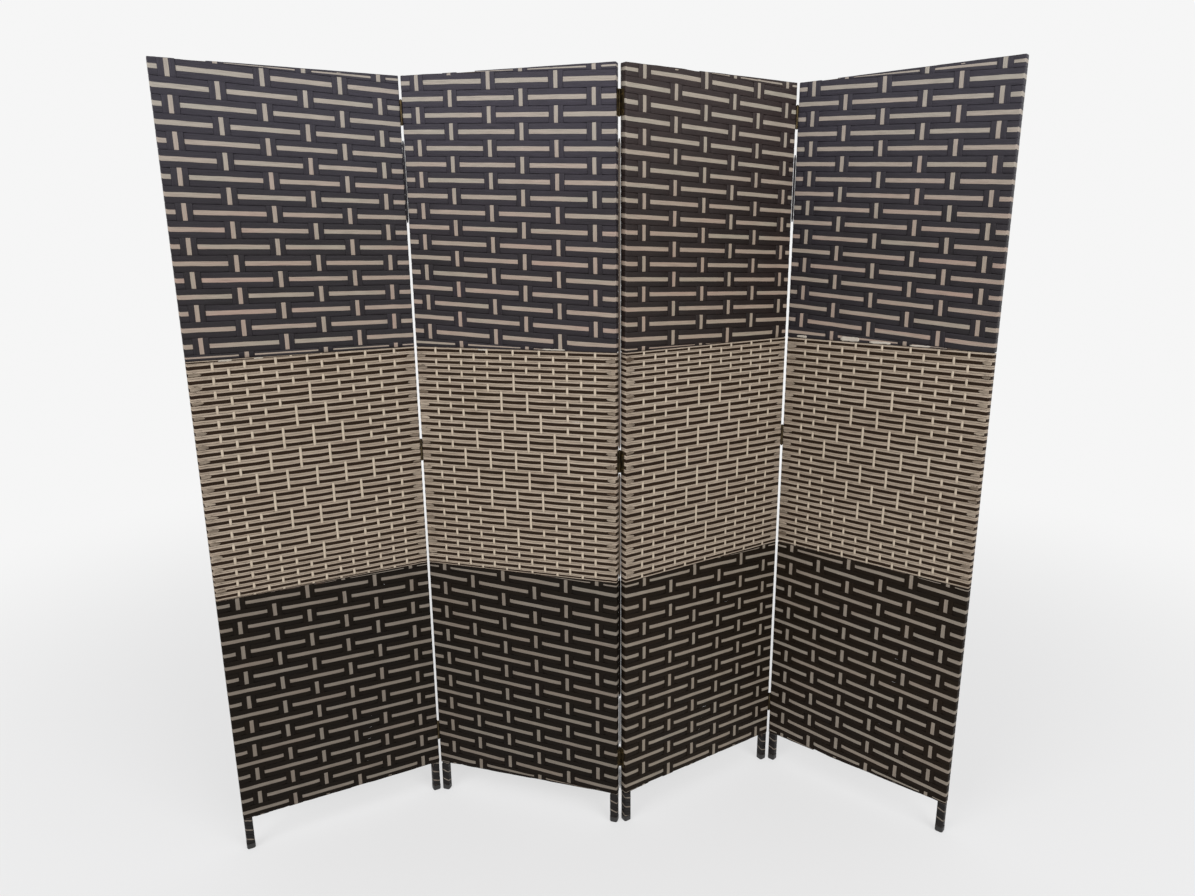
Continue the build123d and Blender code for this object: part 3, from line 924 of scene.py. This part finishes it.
# Wood, plastic and brass of the parts that the weave leaves bare
def plainMaterial(name, look):
    material = bpy.data.materials.new(name)
    material.use_nodes = True
    tree, link = material.node_tree.nodes, material.node_tree.links.new
    shader = tree["Principled BSDF"]
    place = tree.new("ShaderNodeTexCoord")
    mapping = addNode(tree, "Mapping", {"Scale": look["grain"]})
    noise = addNode(tree, "TexNoise", {"Scale": 1, "Detail": 4, "Roughness": 0.6})
    colours = tree.new("ShaderNodeValToRGB")
    for stop, position, tone in zip(colours.color_ramp.elements, (0.36, 0.64), ("dark", "pale")):
        stop.position, stop.color = position, (*look[tone], 1)
    roughness = addNode(tree, "MapRange", {"To Min": look["rough"][0], "To Max": look["rough"][1]})
    bump = addNode(tree, "Bump", {"Strength": look["bump"], "Distance": 0.0004})
    link(place.outputs["Object"], mapping.inputs["Vector"])
    link(mapping.outputs[0], noise.inputs["Vector"])
    link(noise.outputs["Fac"], colours.inputs["Fac"])
    link(noise.outputs["Fac"], roughness.inputs["Value"])
    link(noise.outputs["Fac"], bump.inputs["Height"])
    link(colours.outputs["Color"], shader.inputs["Base Color"])
    link(roughness.outputs[0], shader.inputs["Roughness"])
    link(bump.outputs[0], shader.inputs["Normal"])
    shader.inputs["Metallic"].default_value = look["metal"]
    return material


bareLooks = {
    "stainedWood": {"grain": (260, 260, 9), "dark": srgb(38, 27, 19), "pale": srgb(66, 48, 33),
                    "rough": (0.45, 0.7), "bump": 0.4, "metal": 0},
    "footPlastic": {"grain": (420, 420, 420), "dark": srgb(21, 20, 20), "pale": srgb(37, 36, 35),
                    "rough": (0.35, 0.6), "bump": 0.25, "metal": 0},
    "agedBrass": {"grain": (160, 160, 90), "dark": srgb(40, 32, 20), "pale": srgb(86, 72, 46),
                  "rough": (0.4, 0.65), "bump": 0.25, "metal": 0.75},
    "screwBrass": {"grain": (300, 300, 300), "dark": srgb(88, 73, 45), "pale": srgb(158, 134, 84),
                   "rough": (0.35, 0.55), "bump": 0.2, "metal": 0.9},
}
bare = {name: plainMaterial(name, look) for name, look in bareLooks.items()}
bareNodes = (("post", "stainedWood"), ("rail", "stainedWood"), ("foot_caps", "footPlastic"),
             ("screws", "screwBrass"), ("leaves", "agedBrass"), ("pins", "agedBrass"))
for name, node in nodes.items():
    for ending, finish in bareNodes:
        if name.endswith(ending):
            for material in node.material_slots:
                material.material = bare[finish]
print("finished the bare parts")


# Camera, floor and light
cameraSpot = {"place": (-0.02815, -1.85182, 1.38002), "yaw": -1.077, "pitch": -14.251,
              "roll": 0.425, "lens": 25.467, "sensor": 36}
cameraData = bpy.data.cameras.new("camera")
cameraData.sensor_width = cameraSpot["sensor"]
cameraData.lens = cameraSpot["lens"]
camera = bpy.data.objects.new("camera", cameraData)
bpy.context.scene.collection.objects.link(camera)
turned = (Matrix.Rotation(math.radians(cameraSpot["yaw"]), 4, "Z")
          @ Matrix.Rotation(math.radians(90 + cameraSpot["pitch"]), 4, "X")
          @ Matrix.Rotation(math.radians(-cameraSpot["roll"]), 4, "Z"))
camera.matrix_world = Matrix.Translation(cameraSpot["place"]) @ turned
bpy.context.scene.camera = camera

floorLook = {
    "size": 30,
    "surface": {"Base Color": (0.83, 0.83, 0.84, 1), "Roughness": 0.9, "Specular IOR Level": 0.1},
    "fade": {"From Min": 0.9, "From Max": 3.4, "To Min": 0.6},  # metres from the middle, least glow
}
backdrop = 0.92
ambient = 0.5
bpy.ops.mesh.primitive_plane_add(size=floorLook["size"], location=(0, 0, 0))
floor = bpy.context.object
floor.name = "floor"

floorMaterial = bpy.data.materials.new("paleFloor")
floorMaterial.use_nodes = True
tree, link = floorMaterial.node_tree.nodes, floorMaterial.node_tree.links.new
shader = tree["Principled BSDF"]
for name, value in floorLook["surface"].items():
    shader.inputs[name].default_value = value
glow = addNode(tree, "Emission", {"Color": (backdrop, backdrop, backdrop, 1)})
coordinates = tree.new("ShaderNodeTexCoord")
distance = tree.new("ShaderNodeVectorMath")
distance.operation = "LENGTH"
fade = addNode(tree, "MapRange", floorLook["fade"])
fade.interpolation_type = "SMOOTHSTEP"
blend = tree.new("ShaderNodeMixShader")
link(coordinates.outputs["Object"], distance.inputs[0])
link(distance.outputs["Value"], fade.inputs["Value"])
link(fade.outputs[0], blend.inputs[0])
link(shader.outputs[0], blend.inputs[1])
link(glow.outputs[0], blend.inputs[2])
link(blend.outputs[0], tree["Material Output"].inputs["Surface"])
floor.data.materials.append(floorMaterial)

world = bpy.data.worlds.new("studio")
bpy.context.scene.world = world
world.use_nodes = True
tree, link = world.node_tree.nodes, world.node_tree.links.new
background = tree["Background"]
background.inputs["Color"].default_value = (1, 1, 1, 1)
lightPath = tree.new("ShaderNodeLightPath")
seen = lightPath.outputs["Is Camera Ray"]
for ray in ("Is Glossy Ray", "Is Transmission Ray"):
    either = tree.new("ShaderNodeMath")
    either.operation = "MAXIMUM"
    link(seen, either.inputs[0])
    link(lightPath.outputs[ray], either.inputs[1])
    seen = either.outputs[0]
strength = addNode(tree, "MapRange", {"To Min": ambient, "To Max": backdrop})
link(seen, strength.inputs["Value"])
link(strength.outputs[0], background.inputs["Strength"])

print("set the camera, floor and world")

lamps = {
    "leftSoftbox": {"place": (-2.6, -2.6, 2.9), "target": (0, 0, 1.0), "size": (2.2, 2.2), "watts": 60},
    "rightSoftbox": {"place": (2.2, -2.9, 2.6), "target": (0, 0, 0.8), "size": (2.4, 2.0), "watts": 70},
}
for name, spec in lamps.items():
    data = bpy.data.lights.new(name, "AREA")
    data.shape = "RECTANGLE"
    data.size, data.size_y = spec["size"]
    data.energy = spec["watts"]
    lamp = bpy.data.objects.new(name, data)
    lamp.location = spec["place"]
    way = Vector(spec["target"]) - Vector(spec["place"])
    lamp.rotation_euler = way.to_track_quat("-Z", "Y").to_euler()
    bpy.context.scene.collection.objects.link(lamp)
print("lit")

bpy.context.scene.view_settings.view_transform = "Standard"
